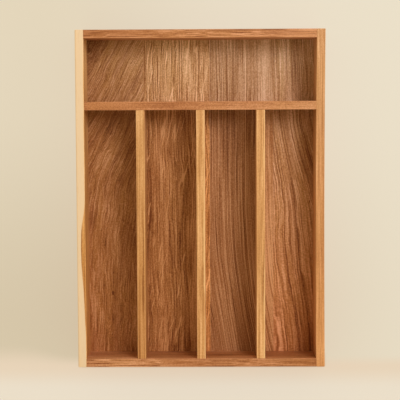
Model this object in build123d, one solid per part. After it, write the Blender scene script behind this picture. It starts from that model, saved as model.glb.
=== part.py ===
from build123d import *
import os

# Drawer organizer insert: a shallow open wooden tray that lies in a drawer. Two full-length side rails
# cover the ends of two end rails. A cross divider sets off one wide compartment at the back, and three
# lane dividers share the rest into four long lanes. The floor is a panel of edge-glued boards, held in a
# groove in the rails. The butt joints are held by glued dowels.
#
# Millimetres. +X is to the right, +Y towards the wide compartment, +Z up. The origin is the centre of the
# underside.

# Outer size
outer_width = 260.0
outer_length = 354.0
outer_height = 50.0

# Rails and dividers
stock = 9.0                        # thickness of every rail and divider
wide_compartment = 65.5            # clear length of the wide compartment, along Y
lane_count = 4
divider_drop = 0.3                 # how far the dividers' top edges lie below the rails'
edge_round = 0.7                   # radius of the eased edges

# Floor
floor_thickness = 6.0
floor_lift = 3.0                   # underside of the floor above the rails' lower edges
groove_depth = 4.0
floor_tongue = 3.0                 # how far the floor reaches into its groove, short of its bottom
floor_seams = (-61.0, 9.5, 77.5)   # X of the glued seams between the floor's boards

# Dowels
dowel_diameter = 4.0
dowel_length = 20.0
dowel_in_face = 5.5                # the part of a dowel that sits in a rail's or divider's face
dowel_chamfer = 0.5
hole_spare = 0.5                   # how much deeper than its dowel each end of a hole is
dowel_heights = (20.0, 39.0)

# Places that follow from the sizes above
half_width = outer_width / 2
half_length = outer_length / 2
inner_x = half_width - stock
inner_y = half_length - stock
floor_top = floor_lift + floor_thickness
divider_top = outer_height - divider_drop
cross_back = inner_y - wide_compartment
cross_front = cross_back - stock
lane_width = (2 * inner_x - (lane_count - 1) * stock) / lane_count
lane_pitch = lane_width + stock
lane_divider_x = [-inner_x + lane_pitch * n - stock / 2 for n in range(1, lane_count)]


def block(low, high):
    """A plain board between two opposite corners."""
    size = [b - a for a, b in zip(low, high)]
    middle = [(a + b) / 2 for a, b in zip(low, high)]
    return Pos(*middle) * Box(*size)


def dowel_places(face, way, along):
    """Where a joint's dowels cross the face that a board butts against, and which way the board lies.

    face is the joint's centre at floor level, way points from the face into the butting board, and along
    is the direction of a dowel's axis.
    """
    return [(Vector(face[0], face[1], height), way, along) for height in dowel_heights]


def corner_joints():
    """The dowels between the side rails and the end rails."""
    places = []
    for side in (-1, 1):
        for end in (-1, 1):
            face = (side * inner_x, end * (half_length - stock / 2))
            places += dowel_places(face, -side, "X")
    return places


def cross_joints():
    """The dowels between the side rails and the cross divider."""
    places = []
    for side in (-1, 1):
        face = (side * inner_x, (cross_back + cross_front) / 2)
        places += dowel_places(face, -side, "X")
    return places


def lane_joints():
    """The dowels at both ends of the lane dividers."""
    places = []
    for x in lane_divider_x:
        places += dowel_places((x, -inner_y), 1, "Y")
        places += dowel_places((x, cross_front), -1, "Y")
    return places


def along_joint(place, start, end, radius):
    """A rod on a dowel's axis, from start to end, counted from the face into the butting board."""
    point, way, along = place
    turn = Rot(0, 90, 0) if along == "X" else Rot(-90, 0, 0)
    step = Vector(1, 0, 0) if along == "X" else Vector(0, 1, 0)
    middle = point + step * (way * (start + end) / 2)
    return Pos(middle) * turn * Cylinder(radius, end - start)


def dowel(place):
    """One dowel with chamfered ends."""
    rod = along_joint(place, -dowel_in_face, dowel_length - dowel_in_face, dowel_diameter / 2)
    return chamfer(rod.edges().filter_by(GeomType.CIRCLE), dowel_chamfer)


def hole(place):
    """The hole for one dowel, which runs into both boards of the joint."""
    deep_in_board = dowel_length - dowel_in_face + hole_spare
    return along_joint(place, -dowel_in_face - hole_spare, deep_in_board, dowel_diameter / 2)


def bored(board, places):
    """A board with the dowel holes that reach it."""
    for place in places:
        board -= hole(place)
    return board


def floor_groove():
    """The space that the rails' grooves hold together: wider than the floor, and closed at the corners."""
    reach_x = inner_x + groove_depth
    reach_y = inner_y + groove_depth
    return block((-reach_x, -reach_y, floor_lift), (reach_x, reach_y, floor_top))


def side_rail(side):
    """A full-length side rail. Its inner upright edges stay square, flush with the end rails."""
    low_x, high_x = sorted((side * inner_x, side * half_width))
    rail = block((low_x, -half_length, 0), (high_x, half_length, outer_height))
    square = rail.edges().filter_by(Axis.Z).group_by(Axis.X)[0 if side > 0 else -1]
    eased = [edge for edge in rail.edges() if edge not in square]
    rail = fillet(eased, edge_round)
    return bored(rail - floor_groove(), corner_joints() + cross_joints())


def end_rail(end):
    """A rail between the side rails."""
    low_y, high_y = sorted((end * inner_y, end * half_length))
    rail = block((-inner_x, low_y, 0), (inner_x, high_y, outer_height))
    rail = fillet(rail.edges().filter_by(Axis.X), edge_round)
    return bored(rail - floor_groove(), corner_joints() + lane_joints())


def cross_divider():
    """The divider between the side rails. It stands on the floor."""
    divider = block((-inner_x, cross_front, floor_top), (inner_x, cross_back, divider_top))
    divider = fillet(divider.edges().filter_by(Axis.X).group_by(Axis.Z)[-1], edge_round)
    return bored(divider, cross_joints() + lane_joints())


def lane_divider(x):
    """A divider between the front rail and the cross divider."""
    divider = block((x - stock / 2, -inner_y, floor_top), (x + stock / 2, cross_front, divider_top))
    divider = fillet(divider.edges().filter_by(Axis.Y).group_by(Axis.Z)[-1], edge_round)
    return bored(divider, lane_joints())


def floor_boards():
    """The floor's boards, from left to right."""
    reach_x = inner_x + floor_tongue
    reach_y = inner_y + floor_tongue
    seams = (-reach_x, *floor_seams, reach_x)
    return [
        block((left, -reach_y, floor_lift), (right, reach_y, floor_top))
        for left, right in zip(seams, seams[1:])
    ]


def save(shape, node):
    export_step(shape, f"parts/{node}.step")


def save_dowels(places, node):
    """Identical dowels, saved together as separate solids."""
    save(Compound(children=[dowel(place) for place in places]), node)


os.makedirs("parts", exist_ok=True)
save(side_rail(-1), "side_rail_left")
save(side_rail(1), "side_rail_right")
save(end_rail(1), "end_rail_back")
save(end_rail(-1), "end_rail_front")
save(cross_divider(), "cross_divider")
for name, x in zip(("left", "middle", "right"), lane_divider_x):
    save(lane_divider(x), f"lane_divider_{name}")
for number, board in enumerate(floor_boards(), start=1):
    save(board, f"floor_board_{number}")
save_dowels(corner_joints(), "corner_dowels")
save_dowels(cross_joints(), "cross_divider_dowels")
save_dowels(lane_joints(), "lane_divider_dowels")
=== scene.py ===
import math

import bpy
from mathutils import Euler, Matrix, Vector, noise


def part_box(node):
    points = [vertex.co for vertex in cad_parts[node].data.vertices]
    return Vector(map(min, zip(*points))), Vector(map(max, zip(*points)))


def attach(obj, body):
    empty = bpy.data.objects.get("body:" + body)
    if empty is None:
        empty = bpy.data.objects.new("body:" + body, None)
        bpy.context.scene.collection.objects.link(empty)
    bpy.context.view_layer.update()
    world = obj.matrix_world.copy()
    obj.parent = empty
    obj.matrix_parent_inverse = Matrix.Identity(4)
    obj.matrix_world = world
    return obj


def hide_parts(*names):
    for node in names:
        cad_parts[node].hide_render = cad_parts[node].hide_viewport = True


# A wooden drawer organizer insert, lying as it does in a drawer and seen from above. Every board is
# built here as its own mesh, with hand-eased edges, and wears its own solid wood texture: growth
# rings, fibres, pores and sapwood run through the board, so its faces and its end grain agree.
#
# Lengths are metres in the CAD model's frame, and MM is a millimetre. The settings of the wood are
# in millimetres.

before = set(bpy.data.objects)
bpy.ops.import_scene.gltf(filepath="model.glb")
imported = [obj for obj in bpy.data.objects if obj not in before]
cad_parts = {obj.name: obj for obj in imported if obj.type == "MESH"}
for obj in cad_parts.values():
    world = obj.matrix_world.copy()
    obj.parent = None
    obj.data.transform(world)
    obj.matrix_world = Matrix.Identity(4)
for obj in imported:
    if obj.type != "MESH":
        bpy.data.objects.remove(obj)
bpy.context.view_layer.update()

MM = 0.001


# ---------------------------------------------------------------------------------------------------
# Sizes, read from the frame
# ---------------------------------------------------------------------------------------------------

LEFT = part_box("side_rail_left")
FLOOR_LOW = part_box("floor_board_1")[0]
FLOOR_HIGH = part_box("floor_board_4")[1]
EASE = 0.7 * MM                          # radius of the eased edges, as on the CAD boards
WORN = 1.3 * MM                          # the same where the tray's rim is rubbed more
FLOOR_REACH = LEFT[1].x - FLOOR_LOW.x    # how far the floor reaches into the rails
GROOVE_DEPTH = FLOOR_REACH + 1 * MM      # the groove leaves the floor room to swell


# ---------------------------------------------------------------------------------------------------
# Boards as lofted meshes
# ---------------------------------------------------------------------------------------------------

ARC_STEPS = 4          # points on an eased edge
FACE_STEP = 6 * MM     # about how far apart the points on a board's faces are
EDGE_BAND = 0.5 * MM   # how far the wear of an eased edge reaches onto its faces
WAVE = 0.06 * MM       # how far planing and sanding leave a face out of flat


def arc(centre, radius, start):
    """Points of a quarter circle, anticlockwise from the angle start."""
    if radius < 1e-6:
        return [(centre, True)]
    turn = math.pi / 2 / ARC_STEPS
    return [
        (centre + radius * Vector((math.cos(start + n * turn), math.sin(start + n * turn))), True)
        for n in range(ARC_STEPS + 1)
    ]


def face_points(a, b):
    """Points between two corners of a section: close to both, and evenly between them."""
    length = (b - a).length
    if length < 4 * EDGE_BAND:
        return []
    count = max(1, round(length / FACE_STEP))
    shares = [EDGE_BAND / length, *(n / count for n in range(1, count)), 1 - EDGE_BAND / length]
    return [(a.lerp(b, share), False) for share in shares]


def slotted_points(start, end, groove):
    """Points between two corners of a section whose side has a slot."""
    side, bottom, top, depth = groove
    heights = [bottom, top] if side > 0 else [top, bottom]
    mouth = [Vector((start.x, z)) for z in heights]
    inner = [Vector((start.x - side * depth, z)) for z in heights]
    slot = [(point, False) for point in (mouth[0], inner[0], inner[1], mouth[1])]
    return face_points(start, mouth[0]) + slot + face_points(mouth[1], end)


def section(low, high, ease, groove=None):
    """A board's section as (point, is on an eased edge), anticlockwise from the lower left corner.

    low and high are its corners, and ease holds the radius of its lower left, lower right, upper
    right and upper left edge. groove is (side, low, high, depth): a slot in the left (-1) or right
    (1) side.
    """
    corners = [Vector(low), Vector((high[0], low[1])), Vector(high), Vector((low[0], high[1]))]
    inward = [Vector((1, 1)), Vector((-1, 1)), Vector((-1, -1)), Vector((1, -1))]
    centres = [corner + turn * radius for corner, turn, radius in zip(corners, inward, ease)]
    sides = [0, 1, 0, -1]    # which side of the section follows each corner: 1 right, -1 left
    points = []
    for n in range(4):
        after = (n + 1) % 4
        rounded = arc(centres[n], ease[n], math.pi + n * math.pi / 2)
        points += rounded
        direction = (corners[after] - corners[n]).normalized()
        outward_normal = Vector((direction.y, -direction.x))
        start = rounded[-1][0]
        end = centres[after] + outward_normal * ease[after]
        if groove and groove[0] == sides[n]:
            points += slotted_points(start, end, groove)
        else:
            points += face_points(start, end)
    return points


def loft(name, stations, place):
    """A closed mesh through sections of equal length, with a map laid along the board for baking.

    stations is [(distance along the board, section)], and place turns (along, (u, v)) into a point.
    """
    verts, faces, edge = [], [], []
    count = len(stations[0][1])
    for along, points in stations:
        verts += [place(along, p) for p, _ in points]
        edge += [1.0 if eased else 0.0 for _, eased in points]
    for s in range(len(stations) - 1):
        for n in range(count):
            after = (n + 1) % count
            faces.append((s * count + n, s * count + after, (s + 1) * count + after, (s + 1) * count + n))
    faces.append(tuple(reversed(range(count))))
    faces.append(tuple(range((len(stations) - 1) * count, len(stations) * count)))

    mesh = bpy.data.meshes.new(name)
    mesh.from_pydata(verts, [], faces)
    mesh.validate()
    lay_out(mesh, stations, count)
    wear = mesh.attributes.new("eased", "FLOAT", "POINT")
    wear.data.foreach_set("value", edge)
    for polygon in mesh.polygons:
        polygon.use_smooth = polygon.index < len(faces) - 2
    board = bpy.data.objects.new(name, mesh)
    bpy.context.scene.collection.objects.link(board)
    outward(mesh)
    mesh.set_sharp_from_angle(angle=math.radians(35))
    return board


def outward(mesh):
    """Turns the mesh's faces outward if the place it was given turned them in."""
    volume = 0.0
    for polygon in mesh.polygons:
        first, *rest = [mesh.vertices[v].co for v in polygon.vertices]
        for b, c in zip(rest, rest[1:]):
            volume += first.dot(b.cross(c))
    if volume < 0:
        mesh.flip_normals()


SIDES_TOP = 0.93       # share of the map's height that the long faces take; the two ends share the rest
MAP_GAP = 0.006


def lay_out(mesh, stations, count):
    """The long faces unrolled to fill the map's width, and the two ends side by side above them."""
    layer = mesh.uv_layers.new(name="OFBake")
    points = [p for p, _ in stations[len(stations) // 2][1]]
    steps = [(points[(n + 1) % count] - points[n]).length for n in range(count)]
    across = [sum(steps[:n]) / sum(steps) for n in range(count + 1)]
    low, high = stations[0][0], stations[-1][0]
    width = max(p.x for p in points) - min(p.x for p in points)
    height = max(p.y for p in points) - min(p.y for p in points)
    corner = Vector((min(p.x for p in points), min(p.y for p in points)))
    turned = height > width

    def end_place(point, half):
        u, v = (point.x - corner.x) / width, (point.y - corner.y) / height
        if turned:
            u, v = v, u
        room = 1 - SIDES_TOP - 2 * MAP_GAP
        return (half * 0.5 + MAP_GAP + u * (0.5 - 2 * MAP_GAP), SIDES_TOP + MAP_GAP + v * room)

    for polygon in mesh.polygons:
        for n, loop in enumerate(polygon.loop_indices):
            vertex = mesh.loops[loop].vertex_index
            station, ring = divmod(vertex, count)
            if polygon.index >= len(mesh.polygons) - 2:
                half = polygon.index - (len(mesh.polygons) - 2)
                uv = end_place(stations[station][1][ring][0], half)
            else:
                column = count if ring == 0 and n in (1, 2) else ring
                along = (stations[station][0] - low) / (high - low)
                uv = (MAP_GAP + across[column] * (1 - 2 * MAP_GAP),
                      MAP_GAP + along * (SIDES_TOP - 2 * MAP_GAP))
            layer.data[loop].uv = uv


def waved(points, along, seed, low, high):
    """The section as planing and sanding leave it: a little inside its flat faces, never outside."""
    made = []
    for p, eased in points:
        ripple = noise.noise(Vector((along / 0.045, p.x / 0.02 + seed, p.y / 0.02)))
        inset = WAVE * (0.5 + 0.5 * max(-1, min(1, ripple * 1.6)))
        q = p.copy()
        for axis in (0, 1):
            if abs(p[axis] - low[axis]) < 1e-6:
                q[axis] += inset
            elif abs(p[axis] - high[axis]) < 1e-6:
                q[axis] -= inset
        made.append((q, eased))
    return made


def eased_radius(radius, along, corner, seed):
    """A hand-eased edge is nowhere quite as round as elsewhere."""
    return radius * (1 + 0.35 * noise.noise(Vector((along / 0.03, corner * 7.3, seed))))


STATION_STEP = 7 * MM     # about how far apart a board's sections are
STOP_CLEAR = 2 * MM       # no other section stands this close to where a groove stops
STOP_LENGTH = 0.1 * MM    # half the length over which it stops
STOPPED = 0.02 * MM       # its depth beyond


def station_places(start, end, ends_eased, groove_end):
    """Where a board's sections stand: evenly, over its eased ends, and where its groove stops."""
    length = end - start
    count = round(length / STATION_STEP)
    places = [start + length * n / count for n in range(count + 1)]
    if ends_eased:
        turn = [EASE * (1 - math.cos(math.pi / 2 * n / ARC_STEPS)) for n in range(1, ARC_STEPS + 1)]
        places += [start + t for t in turn]
        places += [end - t for t in turn]
    if groove_end:
        for stop in (start + groove_end, end - groove_end):
            places = [place for place in places if abs(place - stop) > STOP_CLEAR]
            places += [stop - STOP_LENGTH, stop + STOP_LENGTH]
    return sorted(places)


def end_inset(depth):
    """How far a section is drawn in when it is depth away from an eased end."""
    if depth >= EASE:
        return 0.0
    return EASE - math.sqrt(max(0.0, EASE**2 - (EASE - depth) ** 2))


def drawn_in(points, low, high, inset):
    """A section made smaller all round, as it is on an eased end."""
    middle = [(low[n] + high[n]) / 2 for n in (0, 1)]
    scale = [1 - 2 * inset / (high[n] - low[n]) for n in (0, 1)]
    return [
        (Vector([middle[n] + (p[n] - middle[n]) * scale[n] for n in (0, 1)]), True)
        for p, _ in points
    ]


def board(name, low, high, along, ease, seed, groove=None, groove_end=None, ends_eased=False, bow=0.0):
    """A board between two corners of the frame, as a loft along the axis "X" or "Y".

    groove_end is how far short of the board's ends a stopped groove closes. bow moves the middle of
    the board along the section's first axis.
    """
    axis = "XY".index(along)
    other = 1 - axis
    section_low, section_high = (low[other], low[2]), (high[other], high[2])
    start, end = low[axis], high[axis]
    stations = []
    for place in station_places(start, end, ends_eased, groove_end):
        depth = min(place - start, end - place)
        slot = groove
        if groove_end and depth < groove_end:
            slot = (*groove[:3], STOPPED)
        radii = [eased_radius(radius, place, n, seed) for n, radius in enumerate(ease)]
        points = section(section_low, section_high, radii, slot)
        points = waved(points, place, seed, section_low, section_high)
        shift = bow * (1 - ((place - start) / (end - start) * 2 - 1) ** 2)
        points = [(Vector((p.x + shift, p.y)), eased) for p, eased in points]
        inset = end_inset(depth) if ends_eased else 0.0
        if inset:
            points = drawn_in(points, section_low, section_high, inset)
        stations.append((place, points))

    def place_point(distance, point):
        where = [0.0, 0.0, point[1]]
        where[axis], where[other] = distance, point[0]
        return where

    return loft(name, stations, place_point)


# ---------------------------------------------------------------------------------------------------
# Node trees
# ---------------------------------------------------------------------------------------------------


class Tree:
    """Short calls that build a node tree. A value is a socket, a number or a tuple."""

    def __init__(self, tree):
        self.tree = tree

    def node(self, kind, **settings):
        made = self.tree.nodes.new(kind if kind.startswith("Node") else "ShaderNode" + kind)
        for key, value in settings.items():
            setattr(made, key, value)
        return made

    def feed(self, socket, value):
        if isinstance(value, bpy.types.NodeSocket):
            self.tree.links.new(value, socket)
        elif value is not None:
            socket.default_value = value

    def math(self, operation, a, b=None, c=None, clamp=False):
        made = self.node("Math", operation=operation, use_clamp=clamp)
        for socket, value in zip(made.inputs, (a, b, c)):
            self.feed(socket, value)
        return made.outputs[0]

    def vector(self, x=0.0, y=0.0, z=0.0):
        made = self.node("CombineXYZ")
        for socket, value in zip(made.inputs, (x, y, z)):
            self.feed(socket, value)
        return made.outputs[0]

    def split(self, vector):
        made = self.node("SeparateXYZ")
        self.feed(made.inputs[0], vector)
        return made.outputs

    def length(self, a, b):
        return self.math("SQRT", self.math("MULTIPLY_ADD", a, a, self.math("MULTIPLY", b, b)))

    def cells(self, *parts):
        """A place in a noise. Each part is (value, width of a cell), or a value to take as it is."""
        return self.vector(*(self.math("DIVIDE", *p) if isinstance(p, tuple) else p for p in parts))

    def noise(self, vector, detail=2.0, roughness=0.5):
        """Noise about 0, seldom beyond -1 to 1, one cell to a unit of its vector."""
        made = self.node("TexNoise", noise_dimensions="3D")
        self.feed(made.inputs["Vector"], vector)
        made.inputs["Scale"].default_value = 1.0
        made.inputs["Detail"].default_value = detail
        made.inputs["Roughness"].default_value = roughness
        return self.math("MULTIPLY_ADD", made.outputs[0], 4.0, -2.0)

    def steps(self, value, low, high):
        """0 below low, 1 above high, and smooth between."""
        made = self.node("MapRange", interpolation_type="SMOOTHSTEP")
        for socket, given in zip(made.inputs, (value, low, high)):
            self.feed(socket, given)
        return made.outputs[0]

    def mix(self, factor, a, b, blend="MIX"):
        made = self.node("Mix", data_type="RGBA", blend_type=blend)
        self.feed(made.inputs[0], factor)
        self.feed(made.inputs[6], a)
        self.feed(made.inputs[7], b)
        return made.outputs[2]


# ---------------------------------------------------------------------------------------------------
# Wood
# ---------------------------------------------------------------------------------------------------

# What each board may set. Lengths are in millimetres, in the board's own axes: across its width,
# along its grain and through its thickness, from its centre. Slopes are a line's shift across for each
# millimetre along.
WOOD = {
    "seed": 0.0,
    "pith_across": 0.0,       # the tree's centre line, from the board's
    "pith_depth": -60.0,
    "lean": 0.0,              # slope of the grain
    "sweep": 0.0,             # slope that the grain gains round sweep_from and keeps beyond it
    "sweep_from": 0.0,
    "bend": 0.0,              # how far the grain moves across between bend_from and bend_to
    "bend_from": 0.0,
    "bend_to": 0.0,
    "bend_side": 0.0,         # how much more it moves per 100 mm across
    "wander": 3.0,            # slow waves of the grain
    "ripple": 0.6,            # short waves of the grain
    "ring": 9.0,              # width of the broad growth bands
    "line": 1.8,              # width and length of the fine growth lines
    "line_length": 220.0,
    "band": 0.2,              # contrasts
    "lines": 0.3,
    "fibre": 1.0,
    "fibre_width": 1.0,
    "fibre_length": 90.0,
    "grit": 0.35,
    "pores": 0.3,
    "streaks": 0.0,           # dark mineral streaks
    "streak_width": 5.0,
    "flecks": 0.0,            # short pale flecks
    "fleck_turn": 0.0,        # their slope against the grain
    "blotch": 0.15,           # slow changes of tone
    "hue": 0.5,               # slow changes between ruddy and golden wood
    "tone": 0.0,
    "tilt": 0.0,              # how much lighter it gets, per 100 mm across and along; the tilt across is partly the wood's own tone and partly painted shade on a lane's shaded side
    "rise": 0.0,
    "rim": 0.0,               # how much more golden it is across beyond rim_from, short of pale_from
    "rim_from": 0.0,
    "painted_cool_sheen": 0.12,           # painted sheen: how much less yellow it gets, per 100 mm along
    "pale": 0.0,              # how much paler and less yellow the wood is beyond pale_from: a painted sheen
    "pale_from": 86.0,
    "knot": 0.0,              # radius of a knot that the grain flows round, and its place in the grain
    "knot_grain": 0.0,
    "knot_along": 0.0,
    "pin": 0.0,               # radius of a dark pin knot, and its place
    "pin_across": 0.0,
    "pin_along": 0.0,
    "sapwood": 1000.0,        # how far from the pith the sapwood begins
    "sap_wave": 1.0,
    "heart_swell": 0.0,       # how much further out it begins at heart_peak
    "heart_from": 0.0,
    "heart_peak": 0.0,
    "heart_to": 0.0,
}
COLOURS = ("dark", "middle", "gold", "light", "sap")
VEINS = ("vein_1", "vein_2", "vein_3")    # each (place in the grain, half its width, how much lighter); floor_board_4's vein_3 is painted shade

TINT = (0.72, 1.05, 1.5)         # how fast red, green and blue change where wood is darker or lighter
COOL_SHEEN_TINT = (0.0, 0.5, 1.0)    # the same where a painted sheen makes it less yellow
RIM_TINT = (0.85, 0.95, 0.8)     # the same on a golden rim

SWEEP_SOFT = 60.0                # over about how many millimetres a sweep begins
PALE_SOFT = 18.0                 # and the painted sheen beyond pale_from
RIM_SOFT = 3.0                   # and a golden rim beyond rim_from


def bent_grain(t, given, across, along):
    """Across, less everything that bends the grain's lines, and the waves that do so."""
    m = t.math
    seed = given["seed"]
    slow = t.noise(t.cells((across, 70.0), (along, 110.0), seed), 1.0)
    short = t.noise(t.cells((across, 12.0), (along, 24.0), m("ADD", seed, 7.0)), 2.0)
    wave = m("MULTIPLY_ADD", given["wander"], slow, m("MULTIPLY", given["ripple"], short))
    beyond = m("SUBTRACT", along, given["sweep_from"])
    swept = m("MULTIPLY_ADD", t.length(beyond, SWEEP_SOFT), 0.5, m("MULTIPLY", beyond, 0.5))
    bend = m("MULTIPLY", given["bend"], t.steps(along, given["bend_from"], given["bend_to"]))
    side = m("MULTIPLY_ADD", m("MULTIPLY", given["bend_side"], 0.01), across, 1.0)
    shift = m("MULTIPLY_ADD", given["lean"], along, wave)
    shift = m("MULTIPLY_ADD", given["sweep"], swept, shift)
    shift = m("MULTIPLY_ADD", bend, side, shift)
    return m("SUBTRACT", across, shift), wave


def from_spot(t, across, along, place, height):
    """How far to the side of a spot a point is, and how far from it. Spots are longer along the grain."""
    off = t.math("SUBTRACT", across, place)
    up = t.math("MULTIPLY", t.math("SUBTRACT", along, height), 0.5)
    return off, t.length(up, off)


def parted(t, grain, off, distance, size):
    """The grain parted round a knot of a size, as a stream parts round a stone."""
    m = t.math
    area = m("MULTIPLY", size, size)
    around = m("MULTIPLY_ADD", distance, distance, m("MULTIPLY_ADD", area, 0.3, 0.01))
    return m("SUBTRACT", grain, m("DIVIDE", m("MULTIPLY", area, off), around))


def growth(t, given, grain, along, depth, radius):
    """Every pattern in the wood, by name: noise about 0, or from 0 to 1 for what is there or not."""
    m = t.math
    seed = given["seed"]

    def rings(width, length, offset, roughness):
        """Noise drawn out along the tree and round it."""
        return t.noise(t.cells((radius, width), (along, length), m("ADD", seed, offset)), 2.0, roughness)

    def strands(width, length, offset, detail):
        """Noise drawn out along the grain, and as narrow through the board as across it."""
        place = t.cells((grain, width), (along, length), (m("ADD", depth, offset), width))
        return t.noise(place, detail, 0.6)

    def patches(width, length, offset):
        return t.noise(t.cells((grain, width), (along, length), m("ADD", seed, offset)), 2.0)

    # Flecks are the thin lines along which a slow noise is 0, broken up by another.
    turned = m("MULTIPLY_ADD", given["fleck_turn"], along, grain)
    contour = t.noise(t.cells((turned, 5.0), (along, 70.0), (depth, 5.0)), 0.0)
    broken = t.noise(t.cells((turned, 4.0), (along, 28.0), m("ADD", seed, 41.0)), 1.0)
    thin = t.steps(m("ABSOLUTE", contour), 0.2, 0.0)
    return {
        "band": rings(given["ring"], 260.0, 0.0, 0.55),
        "lines": rings(given["line"], given["line_length"], 3.0, 0.6),
        "fibre": strands(given["fibre_width"], given["fibre_length"], 0.0, 2.0),
        "grit": t.noise(t.cells((grain, 1.1), (along, 1.6), (depth, 1.1)), 1.0),
        "flecks": m("MULTIPLY", thin, t.steps(broken, 0.0, 0.6)),
        "streaks": t.steps(rings(given["streak_width"], 150.0, 17.0, 0.55), 0.25, 0.8),
        "pores": t.steps(strands(0.9, 9.0, 31.0, 1.0), 0.45, 1.1),
        "blotch": patches(22.0, 60.0, 11.0),
        "hue": patches(9.0, 70.0, 29.0),
    }


def fine_tone(t, given, shown, grain, from_knot, from_pin):
    """The tone of the fine patterns, veins and knots, from 0 (dark) through 1 (middle) to 2 (light)."""
    m = t.math
    tone = 1.0
    for name in ("band", "lines", "fibre", "grit", "flecks"):
        tone = m("MULTIPLY_ADD", given[name], shown[name], tone)
    for name in ("streaks", "pores"):
        tone = m("SUBTRACT", tone, m("MULTIPLY", given[name], shown[name]))
    for name in VEINS:
        place, half_width, strength = t.split(given[name])
        inside = t.steps(m("ABSOLUTE", m("SUBTRACT", grain, place)), half_width, 0.0)
        tone = m("MULTIPLY_ADD", strength, inside, tone)
    pin = t.steps(from_pin, given["pin"], m("MULTIPLY", given["pin"], 0.4))
    knot = t.steps(from_knot, m("MULTIPLY", given["knot"], 1.8), m("MULTIPLY", given["knot"], 0.4))
    tone = m("MULTIPLY_ADD", pin, -2.0, tone)
    return m("MULTIPLY_ADD", knot, -0.8, tone)


def broad_gain(t, given, across, along, blotch):
    """What to multiply the colour by, since some parts of a board are lighter, whiter or more golden:
    partly the wood's own tone, and partly a painted sheen and painted shade.
    """
    m = t.math
    # Painted sheen: beyond pale_from the wood is paler and less yellow.
    beyond = t.steps(along, given["pale_from"], m("ADD", given["pale_from"], PALE_SOFT))
    paler = m("MULTIPLY", given["pale"], beyond)
    at_rim = t.steps(across, given["rim_from"], m("ADD", given["rim_from"], RIM_SOFT))
    rim = m("MULTIPLY", m("MULTIPLY", given["rim"], at_rim), m("SUBTRACT", 1.0, beyond))
    # The tilt across is partly the wood's own tone and partly painted shade on the shaded side of a lane.
    lift = m("MULTIPLY_ADD", m("MULTIPLY", given["tilt"], 0.01), across, given["tone"])
    lift = m("MULTIPLY_ADD", m("MULTIPLY", given["rise"], 0.01), along, lift)
    lift = m("MULTIPLY_ADD", given["blotch"], blotch, lift)
    lift = m("ADD", lift, paler)
    # Painted sheen: the wood gets less yellow along the board, and more so where the sheen makes it paler.
    whiter = m("MULTIPLY_ADD", m("MULTIPLY", given["painted_cool_sheen"], 0.01), along, m("MULTIPLY", paler, 0.35))
    gain = []
    for tint, cool_sheen_tint, rim_tint in zip(TINT, COOL_SHEEN_TINT, RIM_TINT):
        power = m("MULTIPLY_ADD", lift, tint, m("MULTIPLY", whiter, cool_sheen_tint))
        gain.append(m("EXPONENT", m("MULTIPLY_ADD", rim, rim_tint, power)))
    return t.vector(*gain)


def sapwood_share(t, given, across, along, radius):
    """1 in the sapwood, outside a ring with a soft wavy edge. The heartwood may swell into it."""
    m = t.math
    edge = t.noise(t.cells((along, 45.0), (across, 60.0), m("ADD", given["seed"], 23.0)), 2.0)
    swell = m("MULTIPLY", t.steps(along, given["heart_from"], given["heart_peak"]),
              t.steps(along, given["heart_to"], given["heart_peak"]))
    begin = m("MULTIPLY_ADD", given["sap_wave"], edge, given["sapwood"])
    begin = m("MULTIPLY_ADD", given["heart_swell"], swell, begin)
    return t.steps(m("SUBTRACT", radius, begin), -0.3, 0.4)


def new_wood_tree():
    """An empty node group with a socket for each entry of WOOD, COLOURS and VEINS."""
    tree = bpy.data.node_groups.new("wood", "ShaderNodeTree")

    def socket(name, kind, in_out="INPUT"):
        return tree.interface.new_socket(name, in_out=in_out, socket_type="NodeSocket" + kind)

    socket("place", "Vector")
    for name, value in WOOD.items():
        socket(name, "Float").default_value = value
    for name in COLOURS:
        socket(name, "Color")
    for name in VEINS:
        socket(name, "Vector").default_value = (0.0, 1.0, 0.0)
    socket("colour", "Color", "OUTPUT")
    socket("roughness", "Float", "OUTPUT")
    socket("height", "Float", "OUTPUT")
    return tree


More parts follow.
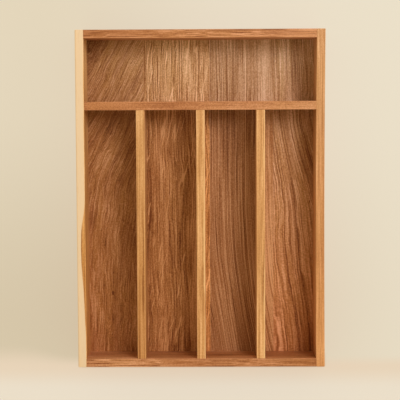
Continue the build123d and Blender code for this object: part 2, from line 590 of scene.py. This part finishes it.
def wood_group():
    """The wood that every board shares, as a node group. Its place is in a board's own axes."""
    tree = new_wood_tree()
    t = Tree(tree)
    m = t.math
    given = t.node("NodeGroupInput").outputs
    across, along, depth = t.split(given["place"])
    grain, wave = bent_grain(t, given, across, along)
    off, from_knot = from_spot(t, grain, along, given["knot_grain"], given["knot_along"])
    grain = parted(t, grain, off, from_knot, given["knot"])
    _, from_pin = from_spot(t, across, along, given["pin_across"], given["pin_along"])
    depth = m("MULTIPLY_ADD", wave, -0.35, depth)
    radius = t.length(m("SUBTRACT", grain, given["pith_across"]), m("SUBTRACT", depth, given["pith_depth"]))
    shown = growth(t, given, grain, along, depth, radius)

    # Heartwood
    tone = fine_tone(t, given, shown, grain, from_knot, from_pin)
    golden = m("MULTIPLY_ADD", given["hue"], shown["hue"], given["hue"], clamp=True)
    body = t.mix(golden, given["middle"], given["gold"])
    colour = t.mix(m("MINIMUM", tone, 1.0, clamp=True), given["dark"], body)
    colour = t.mix(m("SUBTRACT", tone, 1.0, clamp=True), colour, given["light"])
    colour = t.mix(1.0, colour, broad_gain(t, given, across, along, shown["blotch"]), "MULTIPLY")

    # Sapwood
    pale = t.mix(m("MULTIPLY_ADD", shown["lines"], 0.12, 0.12, clamp=True), given["sap"], given["light"])
    pale = t.mix(m("MULTIPLY", shown["pores"], 0.2), pale, given["middle"])
    colour = t.mix(sapwood_share(t, given, across, along, radius), colour, pale)

    height = m("MULTIPLY_ADD", shown["fibre"], 0.15, m("MULTIPLY", shown["lines"], 0.12))
    height = m("MULTIPLY_ADD", shown["pores"], -0.8, height)
    roughness = m("MULTIPLY_ADD", shown["pores"], 0.14, 0.45)
    roughness = m("MULTIPLY_ADD", shown["lines"], -0.03, roughness)
    out = t.node("NodeGroupOutput")
    t.feed(out.inputs["colour"], colour)
    t.feed(out.inputs["roughness"], roughness)
    t.feed(out.inputs["height"], height)
    return tree


def srgb(red, green, blue):
    """A colour given as it looks on a screen, from 0 to 255, in linear light."""
    def linear(c):
        c /= 255
        return c / 12.92 if c <= 0.04045 else ((c + 0.055) / 1.055) ** 2.4
    return (linear(red), linear(green), linear(blue), 1.0)


def wood(name, group, centre, turn, look):
    """A board's own material. turn brings the board's grain to +Y and its wide face to +Z."""
    material = bpy.data.materials.new(name)
    material.use_nodes = True
    t = Tree(material.node_tree)
    shader = material.node_tree.nodes["Principled BSDF"]
    spot = t.node("TexCoord").outputs["Object"]
    board_axes = t.node("Mapping", vector_type="TEXTURE")
    t.feed(board_axes.inputs["Vector"], spot)
    board_axes.inputs["Location"].default_value = centre
    board_axes.inputs["Rotation"].default_value = turn
    board_axes.inputs["Scale"].default_value = (MM, MM, MM)
    grown = t.node("Group", node_tree=group)
    t.feed(grown.inputs["place"], board_axes.outputs[0])
    for key, value in look.items():
        grown.inputs[key].default_value = value

    # The eased edges are rubbed a little paler and smoother than the faces; the paler colour also serves as
    # a painted highlight along the edges.
    eased = t.node("Attribute", attribute_name="eased").outputs["Fac"]
    rubbed_and_highlit = t.mix(t.math("MULTIPLY", eased, 0.15), grown.outputs["colour"], look["light"])
    t.feed(shader.inputs["Base Color"], rubbed_and_highlit)
    t.feed(shader.inputs["Roughness"], t.math("MULTIPLY_ADD", eased, -0.06, grown.outputs["roughness"]))
    bump = t.node("Bump")
    bump.inputs["Strength"].default_value = 0.35
    bump.inputs["Distance"].default_value = 0.12 * MM
    t.feed(bump.inputs["Height"], grown.outputs["height"])
    t.feed(shader.inputs["Normal"], bump.outputs[0])
    shader.inputs["IOR"].default_value = 1.46
    shader.inputs["Specular IOR Level"].default_value = 0.2
    return material


FLAT_Y = (0.0, 0.0, 0.0)                       # grain along Y, wide face up
EDGE_Y = (0.0, math.pi / 2, 0.0)               # grain along Y, wide face sideways
EDGE_X = (-math.pi / 2, -math.pi / 2, 0.0)     # grain along X, wide face to the back


DARK = -1.2      # how much darker and lighter than the middle the outer tones are
LIGHT = 0.7


def tones(middle, gold, sap=(240, 206, 160)):
    """A board's colours from its middle ones. Darker wood is also more saturated."""
    body = srgb(*middle)

    def at(depth):
        return tuple(c * math.exp(depth * tint) for c, tint in zip(body, TINT)) + (1.0,)

    return dict(zip(COLOURS, (at(DARK), body, srgb(*gold), at(LIGHT), srgb(*sap))))


RUDDY = tones((178, 116, 72), (186, 126, 76))
AMBER = tones((196, 136, 84), (200, 144, 88))
GOLDEN = tones((198, 142, 86), (206, 150, 90), sap=(230, 186, 128))
PALE = tones((206, 148, 84), (210, 154, 90), sap=(235, 210, 175))

CALM = {"wander": 0.5, "ripple": 0.1, "grit": 0.2, "pores": 0.15}    # as straight as a narrow edge shows it

LOOKS = {
    "side_rail_left": {**PALE, **CALM, "seed": 1.3, "pith_across": 60.0, "pith_depth": 90.0,
                       "sapwood": 120.5, "heart_swell": 3.1,
                       "heart_from": -158.0, "heart_peak": -36.0, "heart_to": -2.0,
                       "sap_wave": 0.5, "rise": 0.04},
    "side_rail_right": {**AMBER, **CALM, "seed": 2.1, "pith_across": 40.0, "pith_depth": 30.0, "fibre": 0.6,
                        "lines": 0.15, "band": 0.15, "tone": 0.07, "rise": -0.01, "painted_cool_sheen": 0.1},
    "end_rail_back": {**RUDDY, "seed": 32.73, "pith_across": -40.0, "pith_depth": -50.0, "lean": 0.03,
                      "painted_cool_sheen": 0.0, "band": 0.15, "grit": 0.2, "blotch": 0.2, "tone": 0.13, "rise": 0.2},
    "end_rail_front": {**RUDDY, "seed": 0.37, "pith_across": -50.0, "pith_depth": 40.0,
                       "painted_cool_sheen": 0.0, "band": 0.3, "grit": 0.3, "blotch": 0.2, "tone": -0.07,
                       "rise": -0.23},
    "cross_divider": {**RUDDY, "seed": 60.236, "pith_across": -50.0, "pith_depth": -50.0,
                      "painted_cool_sheen": 0.05, "band": 0.3, "fibre": 0.4, "lines": 0.15, "rise": 0.1,
                      "blotch": 0.2, "tone": 0.12},
    "lane_divider_left": {**GOLDEN, **CALM, "seed": 23.022, "pith_across": 40.0, "pith_depth": 50.0,
                          "fibre": 0.7, "band": 0.1, "blotch": 0.07, "tone": -0.12,
                          "rise": 0.16, "painted_cool_sheen": 0.05},
    "lane_divider_middle": {**GOLDEN, **CALM, "seed": 7.5, "pith_across": 35.0, "pith_depth": -50.0,
                            "sapwood": 76.8, "fibre": 0.7, "band": 0.1, "blotch": 0.07, "tone": 0.09,
                            "rise": 0.01, "painted_cool_sheen": 0.03},
    "lane_divider_right": {**GOLDEN, **CALM, "seed": 58.618, "pith_across": 35.0, "pith_depth": -50.0,
                           "sapwood": 77.0, "fibre": 0.7, "band": 0.1, "blotch": 0.07, "tone": 0.14,
                           "rise": -0.07, "painted_cool_sheen": 0.03},
    "floor_board_1": {**tones((168, 111, 67), (173, 117, 62)),
                      "seed": 9.1, "pith_across": 20.0, "pith_depth": -45.0,
                      "sweep": 0.5, "sweep_from": 20.0, "wander": 5.0, "ripple": 1.5,
                      "line_length": 90.0, "fibre": 0.8, "fibre_length": 30.0, "fibre_width": 1.1,
                      "knot": 26.0, "knot_grain": -108.6, "knot_along": 168.0, "grit": 0.4,
                      "pin": 1.5, "pin_across": -3.4, "pin_along": -103.9, "pale": 0.2, "tilt": 0.15,
                      "blotch": 0.3, "vein_1": (-3.0, 6.0, -0.15)},
    "floor_board_2": {**tones((170, 111, 63), (174, 117, 64)),
                      "seed": 10.6, "pith_across": -70.0, "pith_depth": -60.0, "fibre": 1.15,
                      "fibre_length": 60.0, "fibre_width": 1.1, "line": 2.0, "lines": 0.4, "grit": 0.45,
                      "flecks": 1.4, "fleck_turn": -0.2, "pale": 0.43, "ripple": 0.9, "painted_cool_sheen": 0.08,
                      "rim": 0.4, "rim_from": 28.0, "vein_1": (-27.0, 9.0, -0.35),
                      "vein_2": (18.5, 5.0, 0.4)},
    "floor_board_3": {**tones((168, 115, 72), (172, 119, 70)),
                      "seed": 11.4, "pith_across": 200.0, "pith_depth": -60.0, "lean": -0.2,
                      "sweep": 0.2, "sweep_from": -70.0, "line": 1.5, "wander": 1.5, "ripple": 0.3,
                      "hue": 0.2, "pale": 0.34, "painted_cool_sheen": 0.06,
                      "fibre": 1.1, "fibre_width": 0.9, "fibre_length": 140.0,
                      "band": 0.15, "grit": 0.4, "tilt": -0.15, "rim": 0.25, "rim_from": 22.0,
                      "lines": 0.25, "pores": 0.2, "tone": -0.07,
                      "vein_1": (-11.5, 1.0, 0.8), "vein_2": (9.0, 13.0, 0.6)},
    "floor_board_4": {**tones((184, 127, 83), (186, 131, 75)),
                      "seed": 12.8, "pith_across": -120.0, "pith_depth": -60.0, "lean": -0.04,
                      "bend": 14.0, "bend_from": 90.0, "bend_to": -20.0, "bend_side": 2.8,
                      "streaks": 0.3, "streak_width": 3.5, "fibre": 1.0, "fibre_width": 0.9,
                      "fibre_length": 120.0, "hue": 0.5, "pale": 0.08, "rise": 0.03,
                      "painted_cool_sheen": 0.24, "tone": 0.04, "tilt": -0.7,
                      "pin": 0.8, "pin_across": 16.0, "pin_along": -5.4,
                      "vein_1": (-13.0, 0.9, -0.9), "vein_2": (-21.0, 0.8, -0.8),
                      # vein_3 here is painted shade: a broad dark band along the board's right part, not a
                      # vein in the wood.
                      "vein_3": (6.0, 8.0, -0.4)},
}


# ---------------------------------------------------------------------------------------------------
# The boards
# ---------------------------------------------------------------------------------------------------

ALL_EASED = (EASE, EASE, EASE, EASE)
RIM_WORN = (EASE, EASE, EASE, WORN)
TOP_EASED = (0.0, 0.0, EASE, EASE)
SEAM = 0.12 * MM           # how far the floor boards' edges are eased along their glue seams
FLOOR_EASED = (0.0, 0.0, SEAM, SEAM)
RAIL_BOW = -0.8 * MM       # the right rail is pulled in a little in the middle


def floor_groove(side):
    """The floor's groove in a rail whose floor lies on that side of it."""
    return (side, FLOOR_LOW.z, FLOOR_HIGH.z, GROOVE_DEPTH)


def make_board(node, group, turn, slot, along, ease, **shape):
    """The mesh for a CAD board, in its own wood."""
    low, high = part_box(node)
    seed = LOOKS[node]["seed"]
    piece = board(node + "_board", low, high, along, ease, seed, **shape)
    piece.data.materials.append(wood(node + "_wood", group, (low + high) / 2, turn, LOOKS[node]))
    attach(piece, "root")
    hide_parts(node)
    return piece


def make_boards():
    group = wood_group()
    side = {"groove_end": LEFT[1].y - FLOOR_HIGH.y - 1 * MM, "ends_eased": True}
    make_board("side_rail_left", group, EDGE_Y, "pale_sapwood", "Y", RIM_WORN,
               groove=floor_groove(1), **side)
    make_board("side_rail_right", group, EDGE_Y, "amber_wood", "Y", ALL_EASED,
               groove=floor_groove(-1), bow=RAIL_BOW, **side)
    make_board("end_rail_back", group, EDGE_X, "ruddy_wood", "X", ALL_EASED, groove=floor_groove(-1))
    make_board("end_rail_front", group, EDGE_X, "ruddy_wood", "X", RIM_WORN, groove=floor_groove(1))
    make_board("cross_divider", group, EDGE_X, "ruddy_wood", "X", TOP_EASED)
    for name in ("left", "middle", "right"):
        make_board("lane_divider_" + name, group, EDGE_Y, "golden_wood", "Y", TOP_EASED)
    for number in range(1, 5):
        make_board(f"floor_board_{number}", group, FLAT_Y, "floor_wood", "Y", FLOOR_EASED)


def dowel_wood():
    """Plain pale turned wood, with a fine grain."""
    material = bpy.data.materials.new("dowel_wood")
    material.use_nodes = True
    t = Tree(material.node_tree)
    shader = material.node_tree.nodes["Principled BSDF"]
    x, y, z = t.split(t.node("TexCoord").outputs["Object"])
    grain = t.noise(t.vector(*(t.math("MULTIPLY", value, 900.0) for value in (x, y, z))), 3.0)
    paler = t.math("MULTIPLY_ADD", grain, 0.5, 0.5, clamp=True)
    t.feed(shader.inputs["Base Color"], t.mix(paler, srgb(196, 158, 112), srgb(226, 194, 150)))
    t.feed(shader.inputs["Roughness"], t.math("MULTIPLY_ADD", grain, 0.1, 0.65))
    return material


def finish_dowels():
    material = dowel_wood()
    for node in ("corner_dowels", "cross_divider_dowels", "lane_divider_dowels"):
        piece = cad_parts[node]
        piece.data.materials.clear()
        piece.data.materials.append(material)


# ---------------------------------------------------------------------------------------------------
# The studio
# ---------------------------------------------------------------------------------------------------

FLOOR_RADIUS = 2.6
WALL_CURVE = 1.4       # radius of the curve between floor and wall
WALL_TOP = 4.0
CURVE_STEPS = 12
AROUND = 96            # points on each ring of the studio


def make_studio():
    """A plain pale floor that curves up into a wall all round, so that it has no edge in any view."""
    rings = [(0.4, 0.0), (1.2, 0.0), (FLOOR_RADIUS, 0.0)]
    for n in range(1, CURVE_STEPS + 1):
        angle = math.pi / 2 * n / CURVE_STEPS
        rings.append((FLOOR_RADIUS + WALL_CURVE * math.sin(angle), WALL_CURVE * (1 - math.cos(angle))))
    rings.append((FLOOR_RADIUS + WALL_CURVE, WALL_TOP))
    turns = [2 * math.pi * n / AROUND for n in range(AROUND)]
    verts = [(0.0, 0.0, 0.0)]
    for radius, height in rings:
        verts += [(radius * math.cos(turn), radius * math.sin(turn), height) for turn in turns]
    faces = [(0, 1 + n, 1 + (n + 1) % AROUND) for n in range(AROUND)]
    for ring in range(len(rings) - 1):
        first = 1 + ring * AROUND
        second = first + AROUND
        for n in range(AROUND):
            after = (n + 1) % AROUND
            faces.append((first + n, second + n, second + after, first + after))
    mesh = bpy.data.meshes.new("studio")
    mesh.from_pydata(verts, [], faces)
    for polygon in mesh.polygons:
        polygon.use_smooth = True
    studio = bpy.data.objects.new("studio", mesh)
    bpy.context.scene.collection.objects.link(studio)
    mesh.materials.append(studio_paper())
    return studio


def paper_colour(t):
    """The paper's colour: it is darker to the left, with a painted shadow low on the left and a painted
    contact shadow along the front rail, warmer near the front rail, and even far away.
    """
    x, y, _ = t.split(t.node("TexCoord").outputs["Object"])

    def both(a, b):
        return t.math("MULTIPLY", a, b)

    # Painted shadow: the tray's soft shadow darkens the paper low on the left.
    painted_shadow_low_left = both(t.steps(x, 0.40, -0.22), t.steps(y, 0.12, -0.15))
    near_start = t.math("MULTIPLY_ADD", t.steps(x, -0.20, -0.14), -0.013, -0.160)
    near = t.steps(y, near_start, -0.187)
    nearer = t.steps(y, -0.186, -0.212)
    # Painted contact shadow: a dark brown band on the paper along the tray's front rail, darkest at the
    # tray.
    painted_contact_shadow = both(t.steps(y, -0.1889, -0.1835), t.steps(t.math("ABSOLUTE", x), 0.137, 0.128))
    painted_contact_shadow = both(painted_contact_shadow, t.steps(y, -0.170, -0.176))
    far = t.steps(t.length(x, y), 0.32, 0.85)
    paper = t.mix(t.steps(x, -0.2, 0.08), srgb(221, 212, 192), srgb(230, 224, 208))
    for share, colour in (
        (painted_shadow_low_left, srgb(203, 192, 170)),
        (near, srgb(226, 209, 189)),
        (nearer, srgb(230, 222, 208)),
        (both(painted_contact_shadow, 0.85), srgb(124, 88, 58)),
        (far, srgb(226, 218, 200)),
    ):
        paper = t.mix(share, paper, colour)
    return paper


def studio_paper():
    """Paper that mostly glows by itself, so that the tray's shadow on it stays faint."""
    material = bpy.data.materials.new("studio_paper")
    material.use_nodes = True
    t = Tree(material.node_tree)
    shader = material.node_tree.nodes["Principled BSDF"]
    shader.inputs["Base Color"].default_value = srgb(150, 140, 122)
    shader.inputs["Roughness"].default_value = 0.95
    shader.inputs["Specular IOR Level"].default_value = 0.0
    shader.inputs["Emission Strength"].default_value = 0.8
    t.feed(shader.inputs["Emission Color"], paper_colour(t))
    return material


def add_light(name, place, target, size, power, colour, studio):
    """A square soft light that doesn't reach the studio's paper."""
    data = bpy.data.lights.new(name, "AREA")
    data.shape = "SQUARE"
    data.size = size
    data.energy = power
    data.color = colour
    lamp = bpy.data.objects.new(name, data)
    lamp.location = place
    lamp.rotation_euler = (Vector(target) - Vector(place)).to_track_quat("-Z", "Y").to_euler()
    bpy.context.scene.collection.objects.link(lamp)
    lit = bpy.data.collections.new(name + "_reach")
    lit.objects.link(studio)
    lit.collection_objects[0].light_linking.link_state = "EXCLUDE"
    lamp.light_linking.receiver_collection = lit


def light_studio(studio):
    """A soft key light from the upper right, and a warm even sky that fills the shadows."""
    add_light("key", (0.78, 0.70, 1.5), (0, 0, 0), 0.75, 15.6, (1.0, 0.96, 1.04), studio)
    world = bpy.data.worlds.new("soft_light")
    world.use_nodes = True
    sky = world.node_tree.nodes["Background"]
    sky.inputs["Color"].default_value = (1.0, 0.86, 0.53, 1.0)
    sky.inputs["Strength"].default_value = 0.5
    bpy.context.scene.world = world


def add_camera():
    """Nearly overhead, from a little towards the wide compartment, through a long lens."""
    data = bpy.data.cameras.new("camera")
    data.sensor_width = 36.0    # millimetres, as is the lens
    data.lens = 114.9
    camera = bpy.data.objects.new("camera", data)
    camera.location = (0.0150, 0.0972, 1.380)
    pitch, yaw, roll = -0.0732, 0.0118, -0.0038    # radians
    turn = (Euler((pitch, 0, 0)).to_matrix() @ Euler((0, yaw, 0)).to_matrix()
            @ Euler((0, 0, roll)).to_matrix())
    camera.rotation_euler = turn.to_euler()
    bpy.context.scene.collection.objects.link(camera)
    bpy.context.scene.camera = camera


bpy.context.scene.view_settings.view_transform = "Standard"
make_boards()
finish_dowels()
light_studio(make_studio())
add_camera()
